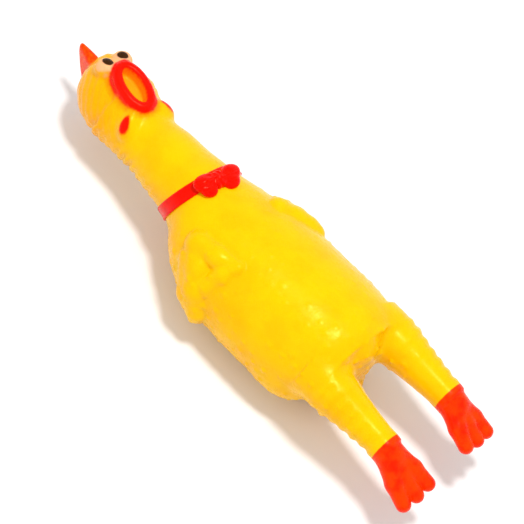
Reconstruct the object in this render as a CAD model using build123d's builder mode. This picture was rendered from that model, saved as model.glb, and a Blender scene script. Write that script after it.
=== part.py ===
"""Hollow vinyl squeeze chicken lying on its back: +X its left, +Y toward the head, +Z the belly."""

from build123d import *
from math import cos, radians, sin
import os

os.makedirs("parts", exist_ok=True)

# ---- driving dimensions, millimetres and degrees ----
WALL = 2.4
GAP = 0.3
SEAM = 0.06
SIDES = (("left", 1), ("right", -1))

# torso stations: y, centre x, centre z, half width, half depth
TORSO = [
    (-93, 2, 49, 14, 9),
    (-88, 2, 47, 25, 18),
    (-78, 2, 44, 34, 26),
    (-60, 1.5, 39.5, 41.5, 34.5),
    (-40, 0.5, 37, 43.5, 37.5),
    (-18, 0, 36, 43.5, 38),
    (2, 0, 36, 41.5, 37),
    (18, 0, 36.5, 39, 35),
    (32, 0.5, 38, 35, 31.5),
    (42, 1.5, 41, 31, 28),
    (50, 2.2, 44.5, 26.5, 25),
    (58, 2.8, 45.6, 22.9, 22.5),
    (67, 3.5, 44.6, 21.1, 21.1),
    (78, 4.3, 43.5, 20.4, 20.4),
]

# neck and head stand on two straight axes, each with a sideways sway and a backward droop
NECK_BASE = (2.5, 54, 46)
NECK_SWAY = 4.5
DROOP = 6
NECK_LEN = 49.0
NECK = [(-6, 23.6, 23), (4, 22.6, 22.2), (12, 21.1, 21), (28, 19.9, 19.9), (41, 18.4, 18.4), (52, 18.6, 18.8)]
HEAD_SWAY = 9
# head stations: height above its base, forward shift, half width, half depth
HEAD = [
    (-21, 0, 19.6, 19.6),
    (-10, 0, 18.6, 18.6),
    (0, 0.2, 18.4, 18.8),
    (9, 1.2, 19.6, 20.4),
    (20, 1.8, 21.2, 22.4),
    (31, 1.6, 20.8, 23),
    (40, 1.8, 17, 20),
    (47, 1.2, 11.5, 15.5),
    (51.5, 0.5, 4.5, 7.5),
]

# neck joints: height of the ball's centre above the collar, ball radius
NECK_JOINTS = [(2, 25), (16, 24), (30, 22.5)]

MOUTH_UP = 16.4
MOUTH_OUT = 25.4
MOUTH_TILT = 13
LIP_OUT = 2.5
MOUTH_LONG = 21.4
MOUTH_WIDE = 10
LIP_THICK = 5.6
LIP_DEPTH = 9.5
THROAT_DEPTH = 11
EYE_UP = 35.4
EYE_OUT = 24
EYE_APART = 5.7
EYE_R = 5.5
PUPIL_R = 2.7
PUPIL_RISE = 0.6
COMB = [(12, 40), (13.4, 50), (11.4, 57), (8.6, 62.4), (3, 63), (-5, 61), (-12, 56.5), (-15, 49), (-14, 40)]
COMB_THICK = 3.4
WATTLE_UP = 1.9
WATTLE_SIDE = 12.9
WATTLE_OUT = 13.6
WATTLE_SIZE = (3.4, 6.4, 3.6)

LEG_X = 26.4
LEG_MID_X = 2
LEG_Z = 49
HIP_Y = -83
HIP_R = 17.2
# leg stations: y, radius
THIGH = [(-86, 16.2), (-93, 14.6), (-100, 12.9), (-108, 11.7), (-112, 11.3)]
SHANK = [(-99, 12.6), (-106, 11.9), (-118, 10.3), (-128.6, 9.3), (-131, 9.2)]
KNEE_Y = -99
KNEE_R = 15.2
ANKLE_Y = -121
ANKLE_R = 12
# foot stations: y, z, pitch toward the back, half width, half depth
FOOT = [
    (-121, 49, 0, 9.4, 9.4),
    (-129, 48.8, 6, 9.2, 9.2),
    (-137, 46.6, 17, 10, 8),
    (-146, 43.2, 20, 12.6, 6.4),
    (-151, 41.3, 20, 13.2, 5.4),
]
FOOT_PITCH = 20
FOOT_ROLL = 10
TOE_ROOT = (-143, 44.3)
TOE_R = 4.8
TOE_TIP_R = 4.4
TOE_TAPER = 2
TOE_SPREAD = 7.2
TOE_FAN = 12
TOE_LEN = (15.6, 17, 15.6)

COLLAR_WIDTH = 6.5
COLLAR_RISE = 1.9
COLLAR_SWAY = 7
COLLAR_LEAN = 12
BOW_OUT = 26
BOW_LOOP = (6.6, 5.6, 3.6)
BOW_REACH = 8.6
BOW_KNOT = (3.4, 4.2, 3.6)

WING_RISE = 4.2
# wing outline seen from the side: y, z
WING = [(37, 57), (30, 65), (14, 69), (2, 64), (9, 56), (3, 44), (-4, 31), (5, 24), (22, 34), (34, 46)]
WING_SHIFT = {"left": -9, "right": 0}
BELLY = (1, -20, 18, 36)
TAIL_AT = (0, -74, 18.5)
TAIL_SIZE = (21, 19, 13.5)
VENT_AT = (2, -75.5, 58.6)
VENT_SIZE = (13, 15, 14.5)

LINING_WALL = 1.2
FLANGE = (9.5, 13.5)
FLANGE_AT = 7.06
FLANGE_THICK = 3
SLEEVE_LEN = 9
SQUEAK_R = 6
SQUEAK_LEN = 18
SQUEAK_WALL = 1
CAP_THICK = 1.2
CAP_HOLE_R = 0.8
CAP_HOLE_RING = 3
TROUGH_LEN = 12
REED_THICK = 0.25
REED_WIDE = 5


def cross(x, y, z, sway=0.0, droop=0.0):
    """Plane across the long axis, its own x toward the right side and its own y toward the belly."""
    s, d = radians(sway), radians(droop)
    return Plane(origin=(x, y, z), x_dir=(-cos(s), sin(s), 0), z_dir=(sin(s) * cos(d), cos(s) * cos(d), -sin(d)))


def shifted(plane, up, forward=0.0, right=0.0):
    """The same plane moved along its normal, then toward the belly side, then to the right."""
    origin = plane.origin + plane.z_dir * up + plane.y_dir * forward + plane.x_dir * right
    return Plane(origin=origin, x_dir=plane.x_dir, z_dir=plane.z_dir)


def turned(plane, roll, fan=0.0):
    """The same plane rolled about its normal, then fanned toward its own x."""
    r, f = radians(roll), radians(fan)
    side = plane.x_dir * cos(r) + plane.y_dir * sin(r)
    ahead = plane.z_dir * cos(f) + side * sin(f)
    return Plane(origin=plane.origin, x_dir=side * cos(f) - plane.z_dir * sin(f), z_dir=ahead)


def facing(plane, up, forward, right=0.0, tilt=0.0):
    """Plane facing forward out of the body, tilted down, at a point in a cross plane's own directions."""
    t = radians(tilt)
    origin = plane.origin + plane.z_dir * up + plane.y_dir * forward + plane.x_dir * right
    return Plane(origin=origin, x_dir=-plane.x_dir, z_dir=plane.y_dir * cos(t) - plane.z_dir * sin(t))


def down(x, y, z, pitch=0.0):
    """Plane across a leg, its normal toward the toes and pitched to the back."""
    p = radians(pitch)
    return Plane(origin=(x, y, z), x_dir=(1, 0, 0), z_dir=(0, -cos(p), -sin(p)))


def pillow(plane, size):
    """Egg-shaped lump with its three half sizes along the plane's own directions."""
    with BuildPart() as lump:
        Sphere(1)
        scale(by=size)
    return lump.part.moved(plane.location)


def skin(stations, grow=0.0, mode=Mode.ADD):
    """Smooth body through elliptical stations given as plane, half width, half depth."""
    rings = []
    for plane, a, b in stations:
        with BuildSketch(plane) as ring:
            Ellipse(a + grow, b + grow)
        rings.append(ring.sketch.face())
    loft(sections=rings, mode=mode)


def ball(plane, radius, mode=Mode.ADD):
    with Locations(plane.location):
        Sphere(radius, mode=mode)


def export(builder, label):
    builder.part.label = label
    export_step(builder.part, f"parts/{label}.step")


neck_base = cross(*NECK_BASE, NECK_SWAY, DROOP)
head_origin = shifted(neck_base, NECK_LEN).origin
head_base = cross(*head_origin, HEAD_SWAY, DROOP)

torso_stations = [(cross(x, y, z), a, b) for y, x, z, a, b in TORSO]
torso_inner = [(p, a - WALL, b - WALL) for p, a, b in torso_stations[1:]]
neck_stations = [(shifted(neck_base, h), a, b) for h, a, b in NECK]
head_stations = [(shifted(head_base, h, f), a, b) for h, f, a, b in HEAD]
neck_centres = [shifted(neck_base, h) for h, _ in NECK_JOINTS]
neck_radii = [r for _, r in NECK_JOINTS]


def beyond(plane, radius, reach):
    """Everything ahead of a plane and outside a ball centred on it: trims a socket's rim."""
    with BuildPart() as cutter:
        with BuildSketch(plane):
            Circle(reach)
        extrude(amount=reach)
        ball(plane, radius, Mode.SUBTRACT)
    return cutter.part


def behind(plane, reach):
    """Everything behind a plane, for trimming the start of a tube."""
    with BuildPart() as cutter:
        with BuildSketch(plane):
            Circle(reach)
        extrude(amount=-reach)
    return cutter.part


# ---- torso, open at the neck and at both hips ----
hips = {side: cross(LEG_MID_X + sign * LEG_X, HIP_Y, LEG_Z) for side, sign in SIDES}
bx, by, belly_a, belly_b = BELLY

with BuildPart() as torso_shell:
    skin(torso_stations)
    skin(torso_inner, mode=Mode.SUBTRACT)
    with Locations((0, 0, -30)):
        Box(200, 400, 60, mode=Mode.SUBTRACT)
    add(beyond(neck_centres[0], neck_radii[0] - GAP / 2, 60), mode=Mode.SUBTRACT)
    for hip in hips.values():
        ball(hip, HIP_R + GAP / 2, Mode.SUBTRACT)
        with BuildSketch(hip):
            Circle(HIP_R + GAP / 2)
        extrude(amount=-HIP_R * 2, mode=Mode.SUBTRACT)
    with BuildSketch(Plane.XY.offset(LEG_Z)):
        with Locations((bx, by)):
            Ellipse(belly_a + GAP, belly_b + GAP)
    extrude(amount=60, mode=Mode.SUBTRACT)
export(torso_shell, "torso_shell")

with BuildPart() as belly_panel:
    skin(torso_stations)
    skin(torso_inner, mode=Mode.SUBTRACT)
    with BuildSketch(Plane.XY.offset(LEG_Z)):
        with Locations((bx, by)):
            Ellipse(belly_a, belly_b)
    extrude(amount=60, mode=Mode.INTERSECT)
export(belly_panel, "belly_panel")

# ---- neck in two tubes ----
for label, index in (("neck_lower", 0), ("neck_upper", 1)):
    with BuildPart() as tube:
        skin(neck_stations)
        skin(neck_stations, -WALL, Mode.SUBTRACT)
        add(behind(neck_centres[index], 60), mode=Mode.SUBTRACT)
        ball(neck_centres[index], neck_radii[index] + GAP / 2, Mode.SUBTRACT)
        add(beyond(neck_centres[index + 1], neck_radii[index + 1] - GAP / 2, 60), mode=Mode.SUBTRACT)
    export(tube, label)

# ---- head, open at the mouth ----
mouth = facing(head_base, MOUTH_UP, MOUTH_OUT, tilt=MOUTH_TILT)
lip_front = mouth.offset(LIP_OUT)
lip_outer = (MOUTH_WIDE / 2 + LIP_THICK, MOUTH_LONG / 2 + LIP_THICK)
eyes = {side: facing(head_base, EYE_UP, EYE_OUT, -sign * EYE_APART) for side, sign in SIDES}
with BuildPart() as head_shell:
    skin(head_stations)
    skin(head_stations[:-1], -WALL, Mode.SUBTRACT)
    add(behind(neck_centres[2], 60), mode=Mode.SUBTRACT)
    ball(neck_centres[2], neck_radii[2] + GAP / 2, Mode.SUBTRACT)
    with BuildSketch(mouth.offset(12)):
        Ellipse(lip_outer[0] + SEAM, lip_outer[1] + SEAM)
    extrude(amount=-28, mode=Mode.SUBTRACT)
    for eye in eyes.values():
        ball(eye, EYE_R + SEAM, Mode.SUBTRACT)
export(head_shell, "head_shell")

# ---- what sits on the head ----
sagittal = Plane(origin=head_base.origin, x_dir=head_base.y_dir, z_dir=head_base.x_dir)
with BuildPart() as comb:
    with BuildSketch(sagittal) as fin:
        with BuildLine():
            Polyline(*[(f, u) for f, u in COMB], close=True)
        make_face()
    extrude(amount=COMB_THICK / 2, both=True)
    skin(head_stations, SEAM, Mode.SUBTRACT)
export(comb, "comb")

with BuildPart() as beak_lips:
    with BuildSketch(lip_front):
        Ellipse(*lip_outer)
        Ellipse(MOUTH_WIDE / 2, MOUTH_LONG / 2, mode=Mode.SUBTRACT)
    extrude(amount=-LIP_DEPTH)
    front_rims = [e for e in beak_lips.edges() if abs(lip_front.to_local_coords(e.center()).Z) < 0.01]
    fillet(front_rims, LIP_THICK / 2 - 0.3)
export(beak_lips, "beak_lips")

for side, eye in eyes.items():
    with BuildPart() as eye_white:
        ball(eye, EYE_R)
        with BuildSketch(lip_front.offset(SEAM)):
            Ellipse(lip_outer[0] + SEAM, lip_outer[1] + SEAM)
        extrude(amount=-LIP_DEPTH * 2, mode=Mode.SUBTRACT)
    export(eye_white, f"{side}_eye_white")
    with BuildPart() as pupil:
        ball(eye, EYE_R + PUPIL_RISE)
        with BuildSketch(eye):
            Circle(PUPIL_R)
        extrude(amount=EYE_R * 2, mode=Mode.INTERSECT)
        ball(eye, EYE_R + SEAM, Mode.SUBTRACT)
    export(pupil, f"{side}_pupil")

for side, sign in SIDES:
    with BuildPart() as wattle:
        add(pillow(facing(head_base, WATTLE_UP, WATTLE_OUT, -sign * WATTLE_SIDE), WATTLE_SIZE))
        skin(head_stations, SEAM, Mode.SUBTRACT)
    export(wattle, f"{side}_wattle")

# ---- throat cup and squeaker, measured back from the front of the lips ----
throat = mouth.offset(-FLANGE_AT)
pocket = (MOUTH_WIDE / 2 - LINING_WALL, MOUTH_LONG / 2 - LINING_WALL)
cap_front = throat.offset(-FLANGE_THICK - SEAM)
barrel_front = cap_front.offset(-CAP_THICK - SEAM)
with BuildPart() as mouth_lining:
    with BuildSketch(throat):
        Ellipse(MOUTH_WIDE / 2 - SEAM, MOUTH_LONG / 2 - SEAM)
    extrude(amount=FLANGE_AT + LIP_OUT - 2)
    with BuildSketch(throat):
        Ellipse(*FLANGE)
    extrude(amount=-FLANGE_THICK)
    with BuildSketch(throat):
        Circle(SQUEAK_R + LINING_WALL)
    extrude(amount=-FLANGE_THICK - SLEEVE_LEN)
    with BuildSketch(throat.offset(-FLANGE_THICK / 2)):
        Ellipse(*pocket)
    extrude(amount=FLANGE_AT + LIP_OUT + FLANGE_THICK, mode=Mode.SUBTRACT)
    with BuildSketch(throat.offset(-FLANGE_THICK)):
        Circle(SQUEAK_R + SEAM)
    extrude(amount=-SLEEVE_LEN - 1, mode=Mode.SUBTRACT)
    with BuildSketch(throat):
        Circle(SQUEAK_R - SQUEAK_WALL - 1)
    extrude(amount=-FLANGE_THICK - 1, mode=Mode.SUBTRACT)
export(mouth_lining, "mouth_lining")

with BuildPart() as squeaker_cap:
    with BuildSketch(cap_front):
        Circle(SQUEAK_R)
        Circle(CAP_HOLE_R, mode=Mode.SUBTRACT)
        with PolarLocations(CAP_HOLE_RING, 6):
            Circle(CAP_HOLE_R, mode=Mode.SUBTRACT)
    extrude(amount=-CAP_THICK)
export(squeaker_cap, "squeaker_cap")

with BuildPart() as squeaker_barrel:
    with BuildSketch(barrel_front):
        Circle(SQUEAK_R)
        Circle(SQUEAK_R - SQUEAK_WALL, mode=Mode.SUBTRACT)
    extrude(amount=-SQUEAK_LEN)
export(squeaker_barrel, "squeaker_barrel")

bore_r = SQUEAK_R - SQUEAK_WALL - SEAM
trough_front = barrel_front.offset(-3)
with BuildPart() as squeaker_trough:
    with BuildSketch(trough_front):
        Circle(bore_r)
        with Locations((0, bore_r / 2 + 0.5)):
            Rectangle(bore_r * 2, bore_r, mode=Mode.SUBTRACT)
        with Locations((0, 0.5)):
            Circle(1.3, mode=Mode.SUBTRACT)
    extrude(amount=-TROUGH_LEN)
export(squeaker_trough, "squeaker_trough")

with BuildPart() as squeaker_reed:
    with BuildSketch(trough_front):
        with Locations((0, 0.5 + GAP + REED_THICK / 2)):
            Rectangle(REED_WIDE, REED_THICK)
    extrude(amount=-TROUGH_LEN)
export(squeaker_reed, "squeaker_reed")

wedge_low = 0.5 + GAP * 1.5 + REED_THICK
with BuildPart() as squeaker_wedge:
    with BuildSketch(trough_front.offset(-TROUGH_LEN + 3.5)):
        Circle(bore_r)
        with Locations((0, wedge_low - bore_r)):
            Rectangle(bore_r * 2, bore_r * 2, mode=Mode.SUBTRACT)
    extrude(amount=-3.5)
export(squeaker_wedge, "squeaker_wedge")

# ---- collar and bow on the root of the neck ----
collar_plane = cross(*NECK_BASE, COLLAR_SWAY, -COLLAR_LEAN)
with BuildPart() as collar:
    with BuildSketch(collar_plane):
        Circle(60)
    extrude(amount=COLLAR_WIDTH / 2, both=True)
    skin(torso_stations, COLLAR_RISE, Mode.INTERSECT)
    skin(torso_stations, SEAM, Mode.SUBTRACT)
export(collar, "collar")

bow_plane = facing(collar_plane, 0, BOW_OUT)
with BuildPart() as bow_knot:
    add(pillow(bow_plane, BOW_KNOT))
    skin(torso_stations, COLLAR_RISE + SEAM, Mode.SUBTRACT)
export(bow_knot, "bow_knot")

knot_clear = tuple(size + SEAM for size in BOW_KNOT)
for side, sign in SIDES:
    with BuildPart() as loop:
        add(pillow(facing(collar_plane, 0, BOW_OUT, -sign * BOW_REACH), BOW_LOOP))
        add(pillow(bow_plane, knot_clear), mode=Mode.SUBTRACT)
        skin(torso_stations, COLLAR_RISE + SEAM, Mode.SUBTRACT)
    export(loop, f"bow_{side}_loop")

# ---- wings, laid on the flanks ----
for side, sign in SIDES:
    with BuildPart() as wing:
        with BuildSketch(Plane.YZ.offset(sign * 12)):
            with BuildLine():
                Spline(*[(y + WING_SHIFT[side], z) for y, z in WING], periodic=True)
            make_face()
        extrude(amount=sign * 60)
        skin(torso_stations, WING_RISE, Mode.INTERSECT)
        skin(torso_stations, GAP, Mode.SUBTRACT)
    export(wing, f"{side}_wing")

# ---- tail and vent lobes ----
with BuildPart() as tail:
    add(pillow(Plane(origin=TAIL_AT), TAIL_SIZE))
    skin(torso_stations, SEAM, Mode.SUBTRACT)
    for hip in hips.values():
        ball(hip, HIP_R + GAP, Mode.SUBTRACT)
export(tail, "tail")

with BuildPart() as vent_lobe:
    add(pillow(Plane(origin=VENT_AT), VENT_SIZE))
    skin(torso_stations, SEAM, Mode.SUBTRACT)
    for hip in hips.values():
        ball(hip, HIP_R + GAP, Mode.SUBTRACT)
export(vent_lobe, "vent_lobe")

# ---- legs ----
for side, sign in SIDES:
    leg_x = LEG_MID_X + sign * LEG_X
    knee = down(leg_x, KNEE_Y, LEG_Z)
    ankle = down(leg_x, ANKLE_Y, LEG_Z)
    thigh_stations = [(down(leg_x, y, LEG_Z), r, r) for y, r in THIGH]
    shank_stations = [(down(leg_x, y, LEG_Z), r, r) for y, r in SHANK]
    foot_stations = [(down(leg_x, y, z, pitch), a, b) for y, z, pitch, a, b in FOOT]

    with BuildPart() as thigh:
        ball(hips[side], HIP_R - GAP / 2)
        skin(thigh_stations)
        ball(hips[side], HIP_R - GAP / 2 - WALL, Mode.SUBTRACT)
        skin(thigh_stations, -WALL, Mode.SUBTRACT)
        add(beyond(knee, KNEE_R - GAP / 2, 40), mode=Mode.SUBTRACT)
    export(thigh, f"{side}_thigh")

    with BuildPart() as shank:
        skin(shank_stations)
        skin(shank_stations, -WALL, Mode.SUBTRACT)
        ball(knee, KNEE_R + GAP / 2, Mode.SUBTRACT)
        add(beyond(ankle, ANKLE_R - GAP / 2, 40), mode=Mode.SUBTRACT)
    export(shank, f"{side}_shank")

    with BuildPart() as foot:
        skin(foot_stations)
        sole = turned(down(leg_x, *TOE_ROOT, FOOT_PITCH), -sign * FOOT_ROLL)
        for index, length in enumerate(TOE_LEN):
            root = turned(shifted(sole, 0, 0, (index - 1) * TOE_SPREAD), 0, (index - 1) * TOE_FAN)
            with BuildSketch(root):
                Circle(TOE_R)
            extrude(amount=length, taper=TOE_TAPER)
            ball(root.offset(length), TOE_TIP_R)
        skin(foot_stations[:-1], -WALL, Mode.SUBTRACT)
        ball(ankle, ANKLE_R + GAP / 2, Mode.SUBTRACT)
    export(foot, f"{side}_foot")
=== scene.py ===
import math

import bpy
import numpy as np
from mathutils import Matrix, Vector


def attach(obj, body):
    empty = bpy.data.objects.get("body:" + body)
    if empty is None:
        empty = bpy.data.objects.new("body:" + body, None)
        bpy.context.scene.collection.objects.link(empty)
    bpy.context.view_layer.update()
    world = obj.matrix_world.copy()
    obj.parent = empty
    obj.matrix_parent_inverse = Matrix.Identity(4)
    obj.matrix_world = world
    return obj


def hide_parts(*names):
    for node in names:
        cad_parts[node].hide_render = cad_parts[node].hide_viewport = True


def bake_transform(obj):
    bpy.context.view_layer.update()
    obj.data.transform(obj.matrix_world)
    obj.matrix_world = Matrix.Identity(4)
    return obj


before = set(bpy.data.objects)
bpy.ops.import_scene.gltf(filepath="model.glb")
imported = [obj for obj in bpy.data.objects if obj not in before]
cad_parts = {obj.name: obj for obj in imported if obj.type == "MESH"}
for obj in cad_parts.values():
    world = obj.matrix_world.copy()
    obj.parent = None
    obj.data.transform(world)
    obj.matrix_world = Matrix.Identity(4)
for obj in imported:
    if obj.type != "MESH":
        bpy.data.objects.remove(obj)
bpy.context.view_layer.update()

MM = 0.001
F = np.float32


# ---------------------------------------------------------------- directions
def unit(v):
    v = np.array(v, float)
    return v / np.linalg.norm(v)


def axes_of(sway, droop):
    """left, up the body and front directions of a part that sways to the left and droops back"""
    s, d = math.radians(sway), math.radians(droop)
    up = np.array([math.sin(s) * math.cos(d), math.cos(s) * math.cos(d), -math.sin(d)])
    left = np.array([math.cos(s), -math.sin(s), 0.0])
    return left, up, np.cross(left, up)


# ---------------------------------------------------------------- driving dimensions, mm (the CAD's own)
NECK_BASE = np.array([2.5, 54.0, 46.0])
NECK_SWAY, HEAD_SWAY, DROOP, NECK_LEN = 4.5, 9.0, 6.0, 49.0
LEG_X, LEG_MID_X, LEG_Z = 26.4, 2.0, 49.0
FOOT_PAINT_Y = -127.0
SIDES = (("left", 1), ("right", -1))

_, n_up, _ = axes_of(NECK_SWAY, DROOP)
h_left, h_up, h_front = axes_of(HEAD_SWAY, DROOP)
HEAD_BASE = NECK_BASE + NECK_LEN * n_up


def head_at(up, front, left=0.0):
    return HEAD_BASE + up * h_up + front * h_front + left * h_left


# body tube: y, centre x, centre z, half width, half depth
STATIONS = [
    (-93, 2, 49, 14, 9),
    (-88, 2, 47, 25, 18),
    (-78, 2, 44, 34, 26),
    (-60, 2.6, 39.5, 41.3, 34.5),
    (-40, 1.6, 37, 43.3, 37.5),
    (-18, 1.1, 36, 43.3, 38),
    (2, 0.6, 36, 41.5, 37),
    (18, 0, 36.5, 39, 35),
    (32, 0.5, 38, 35, 31.5),
    (42, 1.1, 41, 29.8, 28),
    (50, 2.3, 44.5, 24.9, 24.8),
    (58, 3.1, 45.6, 22.5, 22.5),
    (67, 3.7, 44.6, 21.3, 21.1),
    (82, 5.0, 43.1, 20.1, 19.9),
    (95, 5.7, 41.7, 18.3, 18.3),
]
HEAD = [
    (0, 0.0, 18.8, 19.3),
    (9, 0.9, 20.2, 20.9),
    (20, 1.8, 21.2, 22.4),
    (31, 1.6, 20.8, 23),
    (40, 1.8, 17, 20),
    (47, 1.2, 11.5, 15.5),
]
for h, f, a, b in HEAD:
    c = head_at(h, f)
    STATIONS.append((c[1], c[0], c[2], a, b))


# ---------------------------------------------------------------- smooth curves through stations
def spline(xs, ys):
    """Monotone cubic through stations, clamped outside."""
    xs, ys = np.array(xs, float), np.array(ys, float)
    h = np.diff(xs)
    d = np.diff(ys) / h
    m = np.zeros(len(xs))
    for i in range(1, len(xs) - 1):
        if d[i - 1] * d[i] > 0:
            w1, w2 = 2 * h[i] + h[i - 1], h[i] + 2 * h[i - 1]
            m[i] = (w1 + w2) / (w1 / d[i - 1] + w2 / d[i])
    m[0], m[-1] = d[0], d[-1]

    def value(x):
        x = np.clip(x, xs[0], xs[-1])
        i = np.clip(np.searchsorted(xs, x, side="right") - 1, 0, len(xs) - 2)
        t = (x - xs[i]) / h[i]
        return (
            ys[i] * (1 + 2 * t) * (1 - t) ** 2
            + h[i] * m[i] * t * (1 - t) ** 2
            + ys[i + 1] * t * t * (3 - 2 * t)
            + h[i] * m[i + 1] * t * t * (t - 1)
        )

    return value


# ---------------------------------------------------------------- signed distances, mm
def smin(a, b, k):
    h = np.clip(0.5 + 0.5 * (b - a) / k, 0, 1)
    return b + (a - b) * h - k * h * (1 - h)


def smax(a, b, k):
    return -smin(-a, -b, k)


def ellipsoid(p, c, r, basis=None):
    q = p - np.asarray(c, F)
    if basis is not None:
        q = q @ np.asarray(basis, F).T
    r = np.asarray(r, F)
    k0 = np.sqrt(((q / r) ** 2).sum(-1))
    k1 = np.sqrt(((q / (r * r)) ** 2).sum(-1)) + 1e-6
    return k0 * (k0 - 1) / k1


def cone(p, a, b, ra, rb):
    """Rounded cone from a to b."""
    a, b = np.asarray(a, F), np.asarray(b, F)
    ba = b - a
    t = np.clip(((p - a) @ ba) / F(ba @ ba), 0, 1)
    return np.sqrt((((p - a) - t[..., None] * ba) ** 2).sum(-1)) - (ra + (rb - ra) * t)


# ---------------------------------------------------------------- the parts of the skin
def tube(p, stations):
    """Tube along Y through elliptical stations, rounded off at both ends."""
    s = np.array(sorted(stations), float)
    ys = s[:, 0]
    y = p[:, 1].astype(float)
    cx, cz, a, b = (spline(ys, s[:, i])(y) for i in (1, 2, 3, 4))
    wide = spline(ys, s[:, 3])
    slope = wide(y + 0.5) - wide(y - 0.5)
    qx, qz = (p[:, 0] - cx) / a, (p[:, 2] - cz) / b
    k0 = np.sqrt(qx * qx + qz * qz)
    k1 = np.sqrt((qx / a) ** 2 + (qz / b) ** 2) + 1e-6
    d = k0 * (k0 - 1) / k1 / np.sqrt(1 + slope * slope)
    over = np.maximum(ys[0] - y, y - ys[-1])
    out = np.sqrt(np.maximum(d, 0) ** 2 + np.maximum(over, 0) ** 2)
    return np.where(over > 0, out + np.minimum(np.maximum(d, over), 0), d).astype(F)


BODY = [s for s in STATIONS if -80 < s[0] <= head_at(20, 0)[1] + 1]
SKULL = head_at(26.6, 1.2)
HEAD_AXES = np.array([h_left, h_up, h_front])
BROW = head_at(40.5, 13.5, 1.5)
VENT = (2, -72, 57.5), (13.5, 14.6, 15)
TAIL = (0, -72, 18), (21, 18, 13.5)


def leg_stations(sign):
    x = LEG_MID_X + sign * LEG_X + (0.8 if sign < 0 else 0.2)
    radii = [(-68, 14.6), (-81, 15.0), (-90, 14.2), (-96, 13.0), (-103, 12.0),
             (-111, 10.9), (-118, 10.2), (-125, 9.6), (-130, 9.1)]
    slim = 0.5 if sign < 0 else 0.0
    return [(y, x, LEG_Z, r - slim, r - slim) for y, r in radii]


def foot_parts(sign):
    """Ankle, instep and three toes as rounded cones: a, b, ra, rb."""
    x = LEG_MID_X + sign * LEG_X
    roll = math.radians(10) * sign
    side = np.array([math.cos(roll), 0, -math.sin(roll)])
    pitch = math.radians(20)
    ahead = np.array([0, -math.cos(pitch), -math.sin(pitch)])
    short = 0.9 if sign > 0 else 1.0
    ankle = np.array([x, -127.0, LEG_Z])
    heel = np.array([x, -133.5, LEG_Z - 2.0])
    parts = [[(ankle, heel, 9.2, 8.7)]]
    for i in (-1, 0, 1):
        root = heel + ahead * 1 + side * i * 2.2
        knuckle = heel + ahead * 12.6 * short + side * i * 7.2
        tip = heel + ahead * (24.6 + (0.8 if i == 0 else 0)) * short + side * i * 9.4
        parts.append([(root, knuckle, 7.2, 5.2), (knuckle, tip, 5.2, 4.5)])
    return parts


def on_torso(y, t, lift):
    """A point t degrees round the body from its left flank over the belly, lifted off the skin."""
    s = np.array(sorted(STATIONS), float)
    cx, cz, a, b = (float(spline(s[:, 0], s[:, i])(y)) for i in (1, 2, 3, 4))
    t = math.radians(t)
    return np.array([cx + (a + lift) * math.cos(t), y, cz + (b + lift) * math.sin(t)])


def wing_parts(sign):
    """Upper arm, folded hand, back edge and the web between them: chains of centre and radius."""
    def at(y, t, lift):
        return on_torso(y, t if sign < 0 else 180 - t, lift)

    if sign < 0:
        arm = [(at(25, 140, -3.2), 8.6), (at(17, 154, -3.6), 8.4),
               (at(10, 172, -2.8), 8.4), (at(3, 192, -1.0), 7.4)]
        hand = [(at(25, 140, -3.2), 8.6), (at(12, 133, -3.0), 7.0), (at(-0.5, 127, -2.2), 4.8)]
        rear = [(at(23, 156, -4.2), 8.4), (at(12, 184, -2.8), 8.2), (at(3, 200, -1.4), 7.0)]
        web = [(at(6, 160, -3.6), 7.2), (at(3, 140, -3.2), 6.0), (at(-0.5, 127, -2.2), 4.8)]
    else:
        arm = [(at(14, 132, -4.2), 8.2), (at(5, 143, -3.6), 7.8),
               (at(-3, 149, -2.8), 7.0), (at(-8, 151, -2.0), 5.6)]
        hand = [(at(14, 132, -4.2), 8.2), (at(3, 161, -3.6), 7.8), (at(-8, 181, -2.6), 6.4)]
        rear = [(at(12, 146, -4.2), 8.0), (at(0, 178, -3.4), 8.0), (at(-9, 194, -2.0), 6.8)]
        web = [(at(6, 160, -4.2), 7.0), (at(-2, 155, -3.6), 6.0), (at(-7, 152, -2.6), 5.2)]
    return arm, hand, rear, web


def chain(p, links, k):
    d = None
    for (a, ra), (b, rb) in zip(links, links[1:]):
        c = cone(p, a, b, ra, rb)
        d = c if d is None else smin(d, c, k)
    return d


MOUTH_TILT = math.radians(13)
LIP_AT = head_at(16.8, 24.9, 0.6)
LIP_HALF = (7.2, 13.7)
LIP_R = 3.1
LIP_AXES = np.array([h_left, h_up * math.cos(MOUTH_TILT) + h_front * math.sin(MOUTH_TILT),
                     h_front * math.cos(MOUTH_TILT) - h_up * math.sin(MOUTH_TILT)])


def lip_frame(p):
    q = (p - np.asarray(LIP_AT, F)) @ LIP_AXES.T.astype(F)
    r = np.array(LIP_HALF, F)
    k0 = np.sqrt(((q[:, :2] / r) ** 2).sum(1)) + 1e-6
    k1 = np.sqrt(((q[:, :2] / (r * r)) ** 2).sum(1)) + 1e-6
    return q, k0 * (k0 - 1) / k1


def lip_ring(p):
    q, flat = lip_frame(p)
    bead = np.sqrt(flat ** 2 + q[:, 2] ** 2) - LIP_R
    funnel = smax(np.abs(flat - 0.05 * q[:, 2]) - LIP_R + 0.3, np.abs(q[:, 2] + 5.5) - 5.5, 1.0)
    return smin(bead, funnel, 1.5)


def mouth_hole(p):
    q, flat = lip_frame(p)
    wall = flat + LIP_R - 0.2
    return smax(wall, -(q[:, 2] + 5.2), 2.0)


EYE_AT = {side: head_at(36.4, 22.8, sign * 5.7 + 0.3) for side, sign in SIDES}
PUPIL_AT = {side: head_at(36.6, 28.8, sign * 5.2 + 0.5) for side, sign in SIDES}
WATTLE_AT = {side: head_at(1.2, 14.2, sign * 12.4) for side, sign in SIDES}


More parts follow.
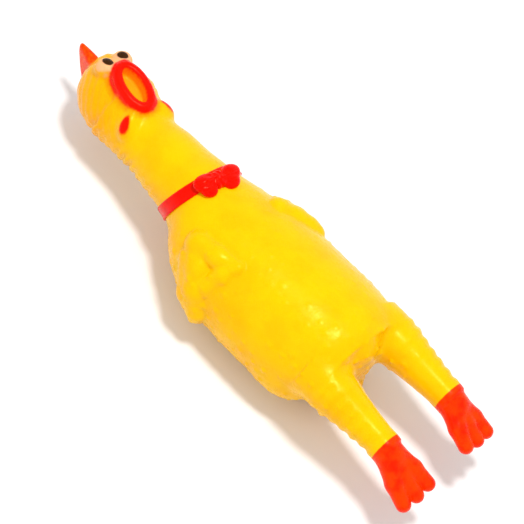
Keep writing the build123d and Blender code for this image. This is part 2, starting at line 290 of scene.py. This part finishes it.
def wattle_axes(sign):
    out = unit(h_left * sign * 0.75 + h_front * 0.66)
    down = unit(-h_up * 0.5 - h_front * 1.05 + h_left * sign * 0.45)
    down = unit(down - out * (down @ out))
    return np.array([np.cross(down, out), down, out])


def wattle_drop(p, sign):
    """Flat pear-shaped distance to the painted drop, narrow end up."""
    q = (p - np.asarray(WATTLE_AT["left" if sign > 0 else "right"], F)) @ wattle_axes(sign).T.astype(F)
    grow = 1 + 0.045 * np.clip(q[:, 1], -6, 6)
    return (np.sqrt((q[:, 0] / grow) ** 2 + (q[:, 1] * 0.5) ** 2 + (q[:, 2] * 0.25) ** 2) - 3.0)


COMB = [(66.0, 11.6), (66.4, 6.8), (62.2, -3.6), (55.2, -11.8), (43.0, -14.5), (43.0, 9.0), (56.0, 12.0)]


def comb_fin(p):
    """Fin standing on the crown: up and front corners of its outline, thinner towards the tip."""
    q = (p - HEAD_BASE.astype(F)) @ HEAD_AXES.T.astype(F)
    flat = None
    for (u0, f0), (u1, f1) in zip(COMB, COMB[1:] + COMB[:1]):
        out = unit((f0 - f1, u1 - u0)).astype(F)
        edge = (q[:, 1] - F(u0)) * out[0] + (q[:, 2] - F(f0)) * out[1]
        flat = edge if flat is None else smax(flat, edge, 2.0)
    thick = 2.1 + 0.17 * np.clip(63 - q[:, 1], 0, 15)
    return smax(flat, np.abs(q[:, 0]) - thick, 3.4)


def near(p, c, r):
    return np.nonzero(((p - np.asarray(c, F)) ** 2).sum(1) < r * r)[0]


def put(d, p, part, centre, reach, k, join=smin):
    i = near(p, centre, reach)
    if len(i):
        d[i] = join(d[i], part(p[i]).astype(F), k)


def field(p):
    """Signed distance to the outside of the whole skin at rest, mm."""
    d = tube(p, BODY)
    put(d, p, lambda q: ellipsoid(q, SKULL, (21.2, 25.6, 23.0), HEAD_AXES), SKULL, 50, 5.0)
    put(d, p, lambda q: ellipsoid(q, (2, -66, 43.5), (35, 21.0, 27.5)), (2, -66, 43), 60, 8.0)
    for _, sign in SIDES:
        pad = on_torso(-50, 196 if sign < 0 else -18, -10.5 if sign < 0 else -6.6)
        put(d, p, lambda q: ellipsoid(q, pad, (12.0, 23.0, 15.5)), pad, 45, 2.4)
    put(d, p, lambda q: ellipsoid(q, TAIL[0], TAIL[1]), TAIL[0], 45, 4.0)
    for _, sign in SIDES:
        x = LEG_MID_X + sign * LEG_X
        put(d, p, lambda q: tube(q, leg_stations(sign)), (x, -100, LEG_Z), 60, 4.5)
        foot = None
        parts = foot_parts(sign)
        i = near(p, (x, -145, LEG_Z - 6), 40)
        for links in parts:
            whole = None
            for a, b, ra, rb in links:
                c = cone(p[i], a, b, ra, rb)
                whole = c if whole is None else smin(whole, c, 2.0)
            foot = whole if foot is None else smin(foot, whole, 1.3)
        d[i] = smin(d[i], foot, 2.5)
        for links in wing_parts(sign):
            mid = links[1][0]
            put(d, p, lambda q: chain(q, links, 3.2), mid, 60, 1.1)
    put(d, p, lambda q: ellipsoid(q, VENT[0], VENT[1]), VENT[0], 32, 1.6)
    for side, sign in SIDES:
        wattle, eye = WATTLE_AT[side], EYE_AT[side]
        put(d, p, lambda q: ellipsoid(q, wattle, (4.6, 8.6, 4.4), wattle_axes(sign)), wattle, 22, 4.0)
        put(d, p, lambda q: ellipsoid(q, eye, (6.3, 6.1, 6.3), HEAD_AXES), eye, 20, 2.6)
    put(d, p, lambda q: ellipsoid(q, BROW, (10.5, 8.5, 9.0), HEAD_AXES), BROW, 26, 3.5)
    put(d, p, lip_ring, LIP_AT, 36, 3.6)
    put(d, p, lambda q: -mouth_hole(q), LIP_AT, 36, 1.6, smax)
    put(d, p, comb_fin, head_at(52, 4), 36, 1.8)
    return smax(d, -p[:, 2], 2.5)


# ---------------------------------------------------------------- surface of a field, as quads
def surface(fn, lo, hi, step, coarse=4):
    """Quads on the zero surface of fn inside a box: vertices, faces."""
    lo, hi = np.array(lo, float), np.array(hi, float)
    n = (np.ceil((hi - lo) / (step * coarse)).astype(int)) * coarse
    big = [lo[i] + step * coarse * (np.arange(n[i] // coarse) + 0.5) for i in range(3)]
    g = np.stack(np.meshgrid(*big, indexing="ij"), -1).reshape(-1, 3).astype(F)
    keep = np.abs(fn(g)) < step * coarse * 1.35
    cells = np.array(np.unravel_index(np.nonzero(keep)[0], [m // coarse for m in n])).T
    d = np.full(n + 1, 9.0, F)
    seen = np.zeros(n + 1, bool)
    offs = np.stack(np.meshgrid(*[np.arange(coarse + 1)] * 3, indexing="ij"), -1).reshape(-1, 3)
    for o in offs:
        idx = cells * coarse + o
        seen[idx[:, 0], idx[:, 1], idx[:, 2]] = True
    ijk = np.array(np.nonzero(seen)).T
    for at in range(0, len(ijk), 400000):
        part = ijk[at:at + 400000]
        d[part[:, 0], part[:, 1], part[:, 2]] = fn((lo + part * step).astype(F))
    inside = (d < 0) & seen
    block = seen[:-1, :-1, :-1] & seen[1:, 1:, 1:]
    corners = [(i, j, k) for i in (0, 1) for j in (0, 1) for k in (0, 1)]
    total = sum(inside[i:n[0] + i, j:n[1] + j, k:n[2] + k].astype(np.int8) for i, j, k in corners)
    active = block & (total > 0) & (total < 8)
    c = np.array(np.nonzero(active)).T
    corner = {(i, j, k): d[c[:, 0] + i, c[:, 1] + j, c[:, 2] + k] for i, j, k in corners}
    total_p, count = np.zeros((len(c), 3)), np.zeros(len(c))
    for a in corner:
        for axis in range(3):
            if a[axis] == 0:
                b = tuple(v + (m == axis) for m, v in enumerate(a))
                va, vb = corner[a], corner[b]
                cross = (va < 0) != (vb < 0)
                t = np.where(cross, va / np.where(cross, va - vb, 1), 0)
                q = np.tile(np.array(a, float), (len(c), 1))
                q[:, axis] += t
                total_p[cross] += q[cross]
                count[cross] += 1
    verts = lo + (c + total_p / count[:, None]) * step
    number = np.full(n, -1, np.int64)
    number[c[:, 0], c[:, 1], c[:, 2]] = np.arange(len(c))
    faces = []
    for axis in range(3):
        u, v = [(1, 2), (2, 0), (0, 1)][axis]
        a = inside
        b = np.roll(inside, -1, axis)
        change = (a != b) & seen & np.roll(seen, -1, axis)
        e = np.array(np.nonzero(change)).T
        e = e[(e[:, axis] < n[axis]) & (e[:, u] > 0) & (e[:, v] > 0) & (e[:, u] < n[u]) & (e[:, v] < n[v])]
        ring = []
        for du, dv in ((-1, -1), (0, -1), (0, 0), (-1, 0)):
            q = e.copy()
            q[:, u] += du
            q[:, v] += dv
            ring.append(number[q[:, 0], q[:, 1], q[:, 2]])
        ring = np.array(ring).T
        out = a[e[:, 0], e[:, 1], e[:, 2]]
        ring[~out] = ring[~out][:, ::-1]
        faces.append(ring[(ring >= 0).all(1)])
    faces = np.concatenate(faces)
    for _ in range(2):
        f0, g0 = fn(verts.astype(F)), slope_of(fn, verts, 0.05)
        size = np.maximum((g0 ** 2).sum(1), 0.25)
        move = g0 * (f0 / size)[:, None]
        lim = np.maximum(np.sqrt((move ** 2).sum(1)) / (step * 0.6), 1)
        verts = verts - move / lim[:, None]
    return verts, faces


def slope_of(fn, p, e):
    g = np.zeros((len(p), 3))
    for i in range(3):
        o = np.zeros(3)
        o[i] = e
        g[:, i] = (fn((p + o).astype(F)) - fn((p - o).astype(F))) / (2 * e)
    return g


def vertex_normals(v, f):
    a = v[f[:, 2]] - v[f[:, 0]]
    b = v[f[:, 3]] - v[f[:, 1]]
    n = np.cross(a, b)
    out = np.zeros_like(v)
    for i in range(4):
        np.add.at(out, f[:, i], n)
    return out / (np.linalg.norm(out, axis=1, keepdims=True) + 1e-12)


# ---------------------------------------------------------------- build the skin
random = np.random.default_rng(7)
SKIN_STEP = 0.8
skin_v, skin_f = surface(field, (-56, -170, -4), (56, 170, 82), SKIN_STEP)
skin_n = vertex_normals(skin_v, skin_f)
P32 = skin_v.astype(F)

# signed distances in mm to each sprayed colour, and to the inside of the mouth where shade is painted,
# negative inside it and FAR where it never reaches
FAR = 30.0
lip_q, lip_flat = lip_frame(P32)
marks = {
    "lip": np.where(lip_q[:, 2] > -7, np.abs(lip_flat) - LIP_R - 0.9, FAR),
    # the inside of the mouth, which is coloured with painted shade
    "mouth": np.where(lip_q[:, 2] > -14, lip_flat + 1.4 + 0.35 * np.clip(lip_q[:, 2], -8, 3), FAR),
    "comb": comb_fin(P32),
    "foot": np.where(P32[:, 1] < -100, P32[:, 1] - FOOT_PAINT_Y, FAR),
}
eye_mark, pupil_mark, wattle_mark = (np.full(len(P32), FAR) for _ in range(3))
for side, sign in SIDES:
    q = (P32 - EYE_AT[side].astype(F)) @ HEAD_AXES.T.astype(F)
    eye = np.sqrt((q[:, 0] + 1.2) ** 2 + ((q[:, 1] + 1.0) / 0.9) ** 2) - 5.7
    # height across the eye as seen from ahead, which trims the patch above and below
    rise = 0.387 * q[:, 0] + 0.723 * q[:, 1] + 0.571 * q[:, 2]
    eye = np.maximum(eye, np.abs(rise - 2.1) - 4.2)
    eye_mark = np.minimum(eye_mark, np.where(q[:, 2] > 1.0, eye, FAR))
    q = (P32 - PUPIL_AT[side].astype(F)) @ HEAD_AXES.T.astype(F)
    long, short = 0.56 * q[:, 0] - 0.825 * q[:, 1], 0.825 * q[:, 0] + 0.56 * q[:, 1]
    pupil = np.sqrt((long / 1.24) ** 2 + short ** 2) - 2.75
    pupil_mark = np.minimum(pupil_mark, np.where(np.abs(q[:, 2]) < 4.5, pupil, FAR))
    wattle_mark = np.minimum(wattle_mark, wattle_drop(P32, sign))
bridge = cone(P32, EYE_AT["left"] - 1.6 * h_up, EYE_AT["right"] - 1.6 * h_up, 3.4, 3.4)
ahead = (P32 - HEAD_BASE.astype(F)) @ h_front.astype(F)
eye_mark = np.minimum(eye_mark, np.where(ahead > 15, bridge - 1.5, FAR))
marks["eye"], marks["pupil"], marks["wattle"] = eye_mark, pupil_mark, wattle_mark

# plucked skin: soft pimples, rows of ripples on the nape and the legs
plain = np.clip(np.minimum.reduce([marks[k] for k in ("lip", "comb", "eye", "wattle", "mouth")]) / 3, 0, 1)
relief = np.zeros(len(P32))
y = P32[:, 1]
centre_x = spline([s[0] for s in STATIONS], [s[1] for s in STATIONS])(y)
centre_z = spline([s[0] for s in STATIONS], [s[2] for s in STATIONS])(y)
angle = np.arctan2(P32[:, 2] - centre_z, P32[:, 0] - centre_x)


def ramp(x, a, b):
    t = np.clip((x - a) / (b - a), 0, 1)
    return t * t * (3 - 2 * t)


def scatter(weight, gap, size, height, jitter):
    """Round bumps about gap mm apart on the skin, thinned by weight."""
    cell = np.floor(P32 / gap).astype(int)
    key = cell[:, 0] * 73856093 ^ cell[:, 1] * 19349663 ^ cell[:, 2] * 83492791
    order = random.permutation(len(key))
    _, first = np.unique(key[order], return_index=True)
    chosen = order[first]
    kept = []
    spots = P32[chosen]
    for i, s in zip(chosen, spots):
        if weight[i] > 0.05 and all(((s - P32[k]) ** 2).sum() > (gap * 0.82) ** 2 for k in kept[-160:]):
            kept.append(i)
    out = np.zeros(len(P32))
    for i in kept:
        r = size * (1 + jitter * (random.random() - 0.5))
        h = height * weight[i] * (0.6 + 0.8 * random.random())
        n = near(P32, P32[i], r)
        d = np.sqrt(((P32[n] - P32[i]) ** 2).sum(1)) / r
        out[n] = np.maximum(out[n], h * (1 - d * d) ** 2)
    return out


body_weight = ramp(y, -120, -105) * (1 - ramp(y, 34, 44)) * plain
body_weight = body_weight * (1 - 0.7 * ramp(skin_n[:, 2], 0.35, 0.85))
relief += scatter(body_weight, 7.0, 2.6, 0.62, 0.6)
neck_weight = ramp(y, 66, 76) * (1 - ramp(y, 120, 140)) * plain
rows = np.sin(2 * math.pi * (y + 2.0 * np.sin(3 * angle)) / 5.8 + 1.4 * np.sin(y / 8.5))
rows = rows * (0.65 + 0.35 * np.sin(y / 4.7))
relief += 0.9 * rows * neck_weight * ramp(np.abs(angle - math.pi / 2), 1.0, 2.1)
head_weight = ramp(y, 104, 118) * plain
streak = np.sin(11 * angle + 0.35 * y) * np.sin(0.75 * y + 4 * angle)
relief += 0.32 * streak * head_weight
leg_weight = (1 - ramp(y, -84, -74)) * ramp(y, -128, -122)
leg_side = np.abs(P32[:, 0] - LEG_MID_X) - LEG_X
relief += 0.34 * np.sin(2 * math.pi * y / 7.0) * leg_weight * ramp(leg_side, 2, 8)
skin_v = skin_v + skin_n * relief[:, None]
skin_n = vertex_normals(skin_v, skin_f)

# ---------------------------------------------------------------- cut it into the toy's own pieces
mid = skin_v[skin_f].mean(1)
mark_mid = {k: m[skin_f].mean(1) for k, m in marks.items()}
M32 = mid.astype(F)
Z_RIM = 70.6
HIP_START, HIP_END = 75.0, 83.2
KNEE_CUT, ANKLE_CUT = -93, -112
ROOT_CUT, NECK_CUT, NAPE_CUT, HEAD_CUT = 48, 66, 79, 97
HIP_DIR = np.array([math.sin(math.radians(35)), -math.cos(math.radians(35)), 0])
label = np.full(len(mid), "torso_skin", dtype="U24")
belly = (mid[:, 2] > Z_RIM) & (mid[:, 1] < 34)
label[belly] = "belly_skin"
for side, sign in SIDES:
    wing = np.minimum.reduce([chain(M32, links, 3.2) for links in wing_parts(sign)])
    label[(wing < 0.9) & (label != "belly_skin")] = f"{side}_wing_skin"
label[(ellipsoid(M32, *VENT) < 0.7) & (label == "torso_skin")] = "vent_lobe_skin"
label[(ellipsoid(M32, *TAIL) < 0.8) & (mid[:, 1] < -60)] = "tail_skin"
for side, sign in SIDES:
    across = (mid[:, 0] - LEG_MID_X) * sign
    t = across * HIP_DIR[0] + mid[:, 1] * HIP_DIR[1]
    own = across > 0
    label[own & (t > HIP_START) & (mid[:, 1] < -50)] = f"{side}_thigh_skin"
    label[own & (mid[:, 1] < KNEE_CUT)] = f"{side}_shank_skin"
    label[own & (mid[:, 1] < ANKLE_CUT)] = f"{side}_ankle_skin"
    label[own & (mid[:, 1] < FOOT_PAINT_Y)] = f"{side}_foot_skin"
label[mid[:, 1] > ROOT_CUT] = "neck_root_skin"
label[mid[:, 1] > NECK_CUT] = "neck_skin"
label[mid[:, 1] > NAPE_CUT] = "nape_skin"
label[mid[:, 1] > HEAD_CUT] = "head_skin"
on_head = label == "head_skin"
for side, sign in SIDES:
    mine = ((mid - HEAD_BASE) @ h_left) * sign > 0
    label[on_head & mine & (mark_mid["wattle"] < 0.5)] = f"{side}_wattle_skin"
    label[on_head & mine & (mark_mid["eye"] < 0.6)] = f"{side}_eye_skin"
    label[on_head & mine & (mark_mid["pupil"] < 0.3)] = f"{side}_pupil_skin"
label[on_head & (mark_mid["comb"] < 0.5)] = "comb_skin"
label[on_head & (mark_mid["lip"] < 0.2)] = "lip_skin"
label[on_head & (mark_mid["mouth"] < -1.2) & (mark_mid["lip"] >= 0.2)] = "mouth_skin"


def piece(name, v, f, n, values, material):
    """One mesh in metres, smooth, with the whole skin's normals so that its edges don't show."""
    used, back = np.unique(f.ravel(), return_inverse=True)
    faces = back.reshape(-1, f.shape[1])
    mesh = bpy.data.meshes.new(name)
    mesh.vertices.add(len(used))
    mesh.vertices.foreach_set("co", (v[used] * MM).astype(np.float32).ravel())
    mesh.loops.add(faces.size)
    mesh.loops.foreach_set("vertex_index", faces.astype(np.int32).ravel())
    mesh.polygons.add(len(faces))
    mesh.polygons.foreach_set("loop_start", np.arange(0, faces.size, faces.shape[1], dtype=np.int32))
    mesh.update(calc_edges=True)
    mesh.polygons.foreach_set("use_smooth", np.ones(len(faces), bool))
    rest = mesh.attributes.new("rest", "FLOAT_VECTOR", "POINT")
    rest.data.foreach_set("vector", v[used].astype(np.float32).ravel())
    for key, value in values.items():
        layer = mesh.attributes.new("m_" + key, "FLOAT", "POINT")
        layer.data.foreach_set("value", np.clip(value[used], -FAR, FAR).astype(np.float32))
    if n is not None:
        mesh.normals_split_custom_set_from_vertices(n[used].astype(np.float32).tolist())
    mesh.materials.append(material)
    obj = bpy.data.objects.new(name, mesh)
    bpy.context.scene.collection.objects.link(obj)
    return obj


# ---------------------------------------------------------------- materials
GLOSS = 0.2


class Nodes:
    """Short names for building one material."""

    def __init__(self, name):
        self.mat = bpy.data.materials.new(name)
        self.mat.use_nodes = True
        self.tree = self.mat.node_tree
        self.bsdf = self.tree.nodes["Principled BSDF"]

    def add(self, kind, **props):
        node = self.tree.nodes.new("ShaderNode" + kind)
        for key, value in props.items():
            setattr(node, key, value)
        return node

    def put(self, socket, value):
        if isinstance(value, bpy.types.NodeSocket):
            self.tree.links.new(value, socket)
        else:
            socket.default_value = value

    def attribute(self, name, vector=False):
        node = self.add("Attribute", attribute_name=name)
        return node.outputs["Vector" if vector else "Fac"]

    def math(self, op, a, b=0.0, c=0.0):
        node = self.add("Math", operation=op)
        for socket, value in zip(node.inputs, (a, b, c)):
            self.put(socket, value)
        return node.outputs[0]

    def noise(self, where, scale, detail=3.0, rough=0.55):
        node = self.add("TexNoise")
        self.put(node.inputs["Vector"], where)
        self.put(node.inputs["Scale"], scale)
        self.put(node.inputs["Detail"], detail)
        self.put(node.inputs["Roughness"], rough)
        return node.outputs["Fac"]

    def between(self, value, low, high, to_low=0.0, to_high=1.0, smooth=True):
        node = self.add("MapRange", interpolation_type="SMOOTHSTEP" if smooth else "LINEAR")
        for socket, v in zip(node.inputs, (value, low, high, to_low, to_high)):
            self.put(socket, v)
        return node.outputs[0]

    def mix(self, factor, a, b):
        node = self.add("Mix", data_type="RGBA")
        self.put(node.inputs["Factor"], factor)
        self.put(node.inputs[6], a)
        self.put(node.inputs[7], b)
        return node.outputs[2]

    def bump(self, height, strength, distance, after=None):
        node = self.add("Bump")
        self.put(node.inputs["Height"], height)
        self.put(node.inputs["Strength"], strength)
        self.put(node.inputs["Distance"], distance)
        if after is not None:
            self.put(node.inputs["Normal"], after)
        return node.outputs["Normal"]

    def surface(self, color, rough, normal=None, glow=0.15, tint=(1, 1, 1, 1)):
        b = self.bsdf.inputs
        self.put(b["Base Color"], color)
        self.put(b["Roughness"], rough)
        b["Specular IOR Level"].default_value = GLOSS
        b["Specular Tint"].default_value = tint
        b["Subsurface Weight"].default_value = glow
        b["Subsurface Radius"].default_value = (1.0, 0.5, 0.06)
        b["Subsurface Scale"].default_value = 0.004
        if normal is not None:
            self.put(b["Normal"], normal)
        return self.mat


YELLOW, DEEP_YELLOW = (0.86, 0.47, 0.0, 1), (0.86, 0.36, 0.0, 1)
RED, DARK_RED = (0.86, 0.004, 0.0, 1), (0.7, 0.002, 0.0, 1)
FOOT_ORANGE, FOOT_RED = (0.88, 0.04, 0.0, 1), (0.86, 0.012, 0.0, 1)
# MOUTH_SHADE is painted shade and painted reflection: the yellow vinyl in the mouth's recess coloured orange
# as if shaded and lit by the red lips
MOUTH_SHADE, CREAM, DARK = (0.95, 0.36, 0.004, 1), (0.88, 0.41, 0.19, 1), (0.03, 0.008, 0.002, 1)

OVERSPRAY = (0.86, 0.12, 0.0, 1)
YELLOW_SHINE, RED_SHINE = (1, 0.72, 0.18, 1), (1, 0.3, 0.2, 1)


def skin_material(name, tint):
    m = Nodes(name)
    rest = m.attribute("rest", True)
    broad, fine = m.noise(rest, 0.05, 2.0), m.noise(rest, 0.9, 3.0)
    edge = m.math("MULTIPLY_ADD", m.noise(rest, 0.55, 4.0, 0.65), 2.0, -1.0)

    def mask(name, soft, ragged, at=0.0):
        d = m.math("MULTIPLY_ADD", edge, ragged, m.attribute("m_" + name))
        return m.between(d, at + soft, at - soft)

    color = m.mix(m.between(broad, 0.4, 0.7, 0.0, 0.4), YELLOW, DEEP_YELLOW)
    split = m.add("SeparateXYZ")
    m.put(split.inputs[0], rest)
    color = m.mix(m.between(split.outputs[1], 100.0, 125.0, 0.0, 0.8), color, DEEP_YELLOW)
    color = m.mix(m.math("MULTIPLY", mask("lip", 2.6, 1.5, 1.4), 0.75), color, OVERSPRAY)
    color = m.mix(m.math("MULTIPLY", mask("comb", 1.8, 1.0, 1.0), 0.6), color, OVERSPRAY)
    color = m.mix(mask("eye", 0.9, 0.8), color, CREAM)
    color = m.mix(mask("lip", 0.6, 0.5), color, RED)
    # painted shade: the inside of the mouth coloured orange like yellow vinyl in shadow, with a painted
    # reflection of the red lips
    color = m.mix(mask("mouth", 1.5, 1.0, -1.0), color, MOUTH_SHADE)
    color = m.mix(mask("comb", 0.7, 0.5, 0.3), color, RED)
    color = m.mix(m.math("MULTIPLY", mask("wattle", 1.0, 0.7, 0.6), 0.3), color, OVERSPRAY)
    color = m.mix(mask("wattle", 0.5, 0.4), color, RED)
    color = m.mix(mask("pupil", 0.35, 0.25), color, DARK)
    foot = m.mix(m.between(m.noise(rest, 0.12, 2.0), 0.35, 0.7), FOOT_ORANGE, FOOT_RED)
    color = m.mix(mask("foot", 0.3, 0.25), color, foot)
    grain = m.bump(fine, 0.1, 0.0004)
    grain = m.bump(m.noise(rest, 0.25, 2.0), 0.08, 0.0012, grain)
    rough = m.between(m.noise(rest, 0.3, 3.0), 0.3, 0.7, 0.22, 0.34, False)
    return m.surface(color, rough, grain, tint=tint)


def paint_material(name, base, dark, soft=0.26):
    m = Nodes(name)
    rest = m.attribute("rest", True)
    color = m.mix(m.between(m.noise(rest, 0.35, 3.0), 0.3, 0.75), base, dark)
    rough = m.between(m.noise(rest, 0.5, 3.0), 0.3, 0.7, soft, soft + 0.1, False)
    return m.surface(color, rough, m.bump(m.noise(rest, 0.8, 3.0), 0.15, 0.0005), glow=0.12, tint=RED_SHINE)


def plain_material(name, base, shade, rough):
    m = Nodes(name)
    where = m.add("TexCoord").outputs["Object"]
    color = m.mix(m.between(m.noise(where, 300.0, 3.0), 0.3, 0.7), base, shade)
    return m.surface(color, rough, m.bump(m.noise(where, 1500.0, 2.0), 0.1, 0.0002), glow=0.0)


SKIN = skin_material("chicken_skin", YELLOW_SHINE)
PAINTED = skin_material("painted_skin", RED_SHINE)
RIBBON = paint_material("collar_paint", RED, DARK_RED, 0.16)
SQUEAKER = plain_material("squeaker_plastic", (0.8, 0.78, 0.7, 1), (0.72, 0.69, 0.6, 1), 0.4)

# ---------------------------------------------------------------- pieces on their bodies, while those that span two bodies stay in place on none
RIDES = {"torso_skin": "torso", "vent_lobe_skin": "torso", "tail_skin": "torso",
         "left_wing_skin": "torso", "right_wing_skin": "torso", "head_skin": "head",
         "comb_skin": "head", "lip_skin": "head", "mouth_skin": "head"}
STANDS = {"torso_skin": ["torso_shell"], "belly_skin": ["belly_panel"], "vent_lobe_skin": ["vent_lobe"],
          "tail_skin": ["tail"], "neck_root_skin": ["neck_lower"], "neck_skin": ["neck_upper"],
          "head_skin": ["head_shell"], "comb_skin": ["comb"], "lip_skin": ["beak_lips"],
          "mouth_skin": ["mouth_lining"]}
BENDS = {"belly_skin": ("torso", "belly", (0, 0, Z_RIM + 0.7), (0, 0, 74.2)),
         "neck_root_skin": ("torso", "neck_low", (0, 48.8, 0), (0, 65.0, 0)),
         "neck_skin": ("neck_low", "neck_up", (0, 66.8, 0), (0, 78.2, 0)),
         "nape_skin": ("neck_up", "head", (0, 79.8, 0), (0, 95.5, 0))}
for side, sign in SIDES:
    hip = [np.array([LEG_MID_X + sign * HIP_DIR[0] * t, HIP_DIR[1] * t, 0])
           for t in (HIP_START + 0.8, HIP_END)]
    BENDS[f"{side}_thigh_skin"] = ("torso", f"{side}_thigh_body", *hip)
    BENDS[f"{side}_shank_skin"] = (f"{side}_thigh_body", f"{side}_shank_body", (0, -93.8, 0), (0, -107, 0))
    BENDS[f"{side}_ankle_skin"] = (f"{side}_shank_body", f"{side}_foot_body", (0, -112.8, 0), (0, -124.5, 0))
    RIDES[f"{side}_foot_skin"] = f"{side}_foot_body"
    STANDS[f"{side}_wing_skin"] = [f"{side}_wing"]
    STANDS[f"{side}_thigh_skin"] = [f"{side}_thigh"]
    STANDS[f"{side}_shank_skin"] = [f"{side}_shank"]
    STANDS[f"{side}_foot_skin"] = [f"{side}_foot"]
    for part, node in (("eye", "eye_white"), ("pupil", "pupil"), ("wattle", "wattle")):
        RIDES[f"{side}_{part}_skin"] = "head"
        STANDS[f"{side}_{part}_skin"] = [f"{side}_{node}"]

for name in sorted(set(label)):
    painted = any(word in name for word in ("comb", "lip", "wattle", "foot"))
    obj = piece(str(name), skin_v, skin_f[label == name], skin_n, marks, PAINTED if painted else SKIN)
    if name in RIDES:
        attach(obj, RIDES[name])
    else:
        a, b, start, end = BENDS[name]
        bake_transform(obj)
    if name in STANDS:
        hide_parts(*STANDS[name])

# ---------------------------------------------------------------- collar and bow
c_left, c_up, c_front = axes_of(7, -12)
COLLAR_AXES = np.array([c_left, c_up, c_front]).astype(F)


def collar_ring(p):
    body = field(p)
    h = np.abs((p - NECK_BASE.astype(F)) @ COLLAR_AXES[1])
    return smax(smax(body - 1.3, h - 4.0, 0.8), -(body + 0.8), 0.3)


BOW_AT = NECK_BASE + 25.6 * c_front + 1.4 * c_left


def bow_frame(p):
    return (p - BOW_AT.astype(F)) @ COLLAR_AXES.T


def bow_knot(p):
    q = bow_frame(p)
    crease = 0.3 * np.sin(2.0 * q[:, 0] + 0.6 * q[:, 1])
    return ellipsoid(q, (0.6, -2.6, 0.5), (5.6, 5.2, 3.9)) + crease


def bow_loop(sign):
    """A crumpled ribbon loop pinched at the knot, one corner flopping over the chest."""
    def loop(p):
        q = bow_frame(p) * np.array([sign, 1, 1], F) / F(1.12)
        q[:, 1] += 0.7 + 0.7 * sign
        d = ellipsoid(q, (8.2, -0.6, 0.4), (5.6, 4.4, 3.4))
        d = smin(d, ellipsoid(q, (6.8, -4.6, 0.0), (4.6, 4.2, 3.0)), 1.4)
        d = smin(d, cone(q, (1.5, -1.2, 0.3), (7.4, -1.4, 0.3), 3.4, 3.9), 1.6)
        fold = np.arctan2(q[:, 1] + 0.6, q[:, 0] - 0.8)
        fade = np.clip((12.5 - q[:, 0]) / 9, 0, 1)
        d = d + 0.34 * np.sin(6.5 * fold + 0.8 * sign) * fade
        return smax(d, -cone(q, (4.0, -2.2, 4.6), (12.0, -3.0, 4.0), 0.9, 1.3), 1.0)

    return loop


def small(name, fn, lo, hi, step, material, body, *nodes):
    v, f = surface(fn, lo, hi, step, 4)
    obj = piece(name, v, f, vertex_normals(v, f), {}, material)
    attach(obj, body)
    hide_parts(*nodes)
    return obj


FINE = 0.5
small("collar_band", collar_ring, (-30, 38, 12), (38, 70, 78), FINE, RIBBON, "torso", "collar")
small("bow_knot_piece", bow_knot, BOW_AT - 8, BOW_AT + 8, FINE * 0.7, RIBBON, "torso", "bow_knot")
for side, sign in SIDES:
    small(f"bow_{side}_piece", bow_loop(sign), BOW_AT - 18, BOW_AT + 18, FINE * 0.8, RIBBON,
          "torso", f"bow_{side}_loop")

for name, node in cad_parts.items():
    if name.startswith("squeaker"):
        node.data.materials.clear()
        node.data.materials.append(SQUEAKER)

# ---------------------------------------------------------------- floor, light, camera
m = Nodes("floor")
spot = m.add("TexCoord").outputs["Object"]
tone = m.mix(m.noise(spot, 3.0, 2.0), (0.8, 0.8, 0.8, 1), (0.84, 0.84, 0.84, 1))
floor_mat = m.surface(tone, 0.6, glow=0.0)
bpy.ops.mesh.primitive_plane_add(size=12, location=(0, 0, -0.0002))
floor = bpy.context.object
floor.name = "floor"
floor.data.materials.append(floor_mat)

world = bpy.data.worlds.new("studio")
bpy.context.scene.world = world
world.use_nodes = True
world.node_tree.nodes["Background"].inputs["Color"].default_value = (1, 1, 1, 1)
world.node_tree.nodes["Background"].inputs["Strength"].default_value = 0.85

# the camera is above the toy, tilted to its right and leaning towards its feet, then rolled
tilt, lean = math.radians(32), math.radians(12)
back = np.array([-math.sin(tilt) * math.cos(lean), -math.sin(lean), math.cos(tilt) * math.cos(lean)])
along = np.array([-math.sin(tilt) * math.sin(lean), math.cos(lean), math.cos(tilt) * math.sin(lean)])
aside = np.array([math.cos(tilt), 0, math.sin(tilt)])
roll = math.radians(46.5)
right = -math.cos(roll) * along + math.sin(roll) * aside
upward = math.sin(roll) * along + math.cos(roll) * aside


def lamp(name, direction, distance, size, power):
    data = bpy.data.lights.new(name, "AREA")
    data.shape = "DISK"
    data.size = size
    data.energy = power
    obj = bpy.data.objects.new(name, data)
    obj.location = Vector(direction).normalized() * distance + Vector((0, 0, 0.04))
    obj.rotation_mode = "QUATERNION"
    obj.rotation_quaternion = Vector(direction).to_track_quat("Z", "Y")
    bpy.context.scene.collection.objects.link(obj)


lamp("key", back * 0.95 + right * 0.3 + upward * 0.5, 1.4, 0.22, 14)
lamp("fill", back * 0.9 - right * 0.6 - upward * 0.1, 1.6, 1.2, 2)

target = np.array([0, -0.010, 0.036]) + (-1.7 * right + 12.4 * upward) * MM
DISTANCE, SPAN = 1.6, 0.2960
camera = bpy.data.cameras.new("camera")
camera.sensor_width = 36
camera.lens = 36 * DISTANCE / SPAN
camera.clip_start, camera.clip_end = 0.05, 50
stand = bpy.data.objects.new("camera", camera)
stand.matrix_world = Matrix(((right[0], upward[0], back[0], target[0] + back[0] * DISTANCE),
                           (right[1], upward[1], back[1], target[1] + back[1] * DISTANCE),
                           (right[2], upward[2], back[2], target[2] + back[2] * DISTANCE),
                           (0, 0, 0, 1)))
bpy.context.scene.collection.objects.link(stand)
bpy.context.scene.camera = stand
bpy.context.scene.view_settings.view_transform = "Standard"
